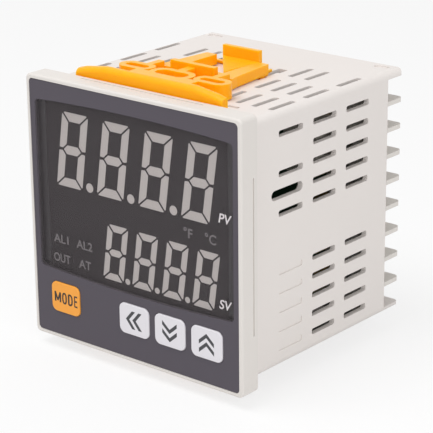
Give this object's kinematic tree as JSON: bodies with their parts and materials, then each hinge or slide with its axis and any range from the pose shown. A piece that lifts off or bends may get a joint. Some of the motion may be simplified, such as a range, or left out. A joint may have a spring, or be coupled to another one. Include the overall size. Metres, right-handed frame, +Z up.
{
  "type": "temperature controller",
  "caption": "Square panel-mounting temperature controller with two rows of digits, press keys, a vented case, finned screw terminals and sliding sprung brackets.",
  "frame": {"origin": "centre of the panel cut-out, on the panel's front surface, which the front frame's rear face rests on", "axes": "+X right and +Z up seen from the front, +Y back through the panel; the display faces -Y"},
  "size_m": [0.072, 0.0707, 0.0786],
  "materials": {
    "frame_plastic": "satin moulded grey",
    "sheet_plastic": "satin printed sheet",
    "smoked_lens": "smoked clear lens, gloss",
    "display_black": "matte black",
    "segment_pale": "diffusing resin, unlit",
    "key_orange": "fine satin",
    "key_white": "fine satin",
    "plunger_black": "matte",
    "switch_black": "matte",
    "board_green": "varnished laminate",
    "header_black": "matte",
    "core_steel": "varnished laminations",
    "coil_tape": "wound tape",
    "capacitor_sleeve": "shrink sleeve",
    "relay_blue": "satin",
    "relay_pale": "satin",
    "chip_black": "matte epoxy",
    "case_plastic": "fine spark-eroded grain",
    "block_plastic": "fine spark-eroded grain",
    "strip_brass": "plated brass",
    "washer_steel": "nickel plated",
    "screw_steel": "nickel plated",
    "bracket_orange": "moulded, slightly glossy"
  },
  "bodies": {
    "controller": {"front_bezel": "frame_plastic", "front_sheet": "sheet_plastic", "display_window": "smoked_lens", "display_module": "display_black", "big_segments": "segment_pale", "small_segments": "segment_pale", "key_switches": "switch_black", "front_board": "board_green", "right_board": "board_green", "left_board": "board_green", "board_headers": "header_black", "transformer_core": "core_steel", "transformer_coil": "coil_tape", "capacitors": "capacitor_sleeve", "alarm_relays": "relay_blue", "output_relay": "relay_pale", "control_chip": "chip_black", "case": "case_plastic", "terminal_block": "block_plastic", "terminal_strips": "strip_brass", "terminal_washers": "washer_steel", "terminal_screws": "screw_steel"},
    "mode_button": {"mode_key": "key_orange", "mode_plunger": "plunger_black"},
    "left_button": {"left_key": "key_white", "left_plunger": "plunger_black"},
    "down_button": {"down_key": "key_white", "down_plunger": "plunger_black"},
    "up_button": {"up_key": "key_white", "up_plunger": "plunger_black"},
    "upper_clamp": {"upper_bracket": "bracket_orange"},
    "lower_clamp": {"lower_bracket": "bracket_orange"}
  },
  "joints": [
    {"name": "mode_press", "type": "slide", "parent": "controller", "child": "mode_button", "axis": [0, 1, 0], "range_m": [0, 0.0003], "stiffness_N_per_m": 1500, "springref_m": -0.0002},
    {"name": "left_press", "type": "slide", "parent": "controller", "child": "left_button", "axis": [0, 1, 0], "range_m": [0, 0.0003], "stiffness_N_per_m": 1500, "springref_m": -0.0002},
    {"name": "down_press", "type": "slide", "parent": "controller", "child": "down_button", "axis": [0, 1, 0], "range_m": [0, 0.0003], "stiffness_N_per_m": 1500, "springref_m": -0.0002},
    {"name": "up_press", "type": "slide", "parent": "controller", "child": "up_button", "axis": [0, 1, 0], "range_m": [0, 0.0003], "stiffness_N_per_m": 1500, "springref_m": -0.0002},
    {"name": "upper_clamp_slide", "type": "slide", "parent": "controller", "child": "upper_clamp", "axis": [0, 1, 0], "range_m": [0, 0.007]},
    {"name": "lower_clamp_slide", "type": "slide", "parent": "controller", "child": "lower_clamp", "axis": [0, 1, 0], "range_m": [0, 0.007]}
  ]
}
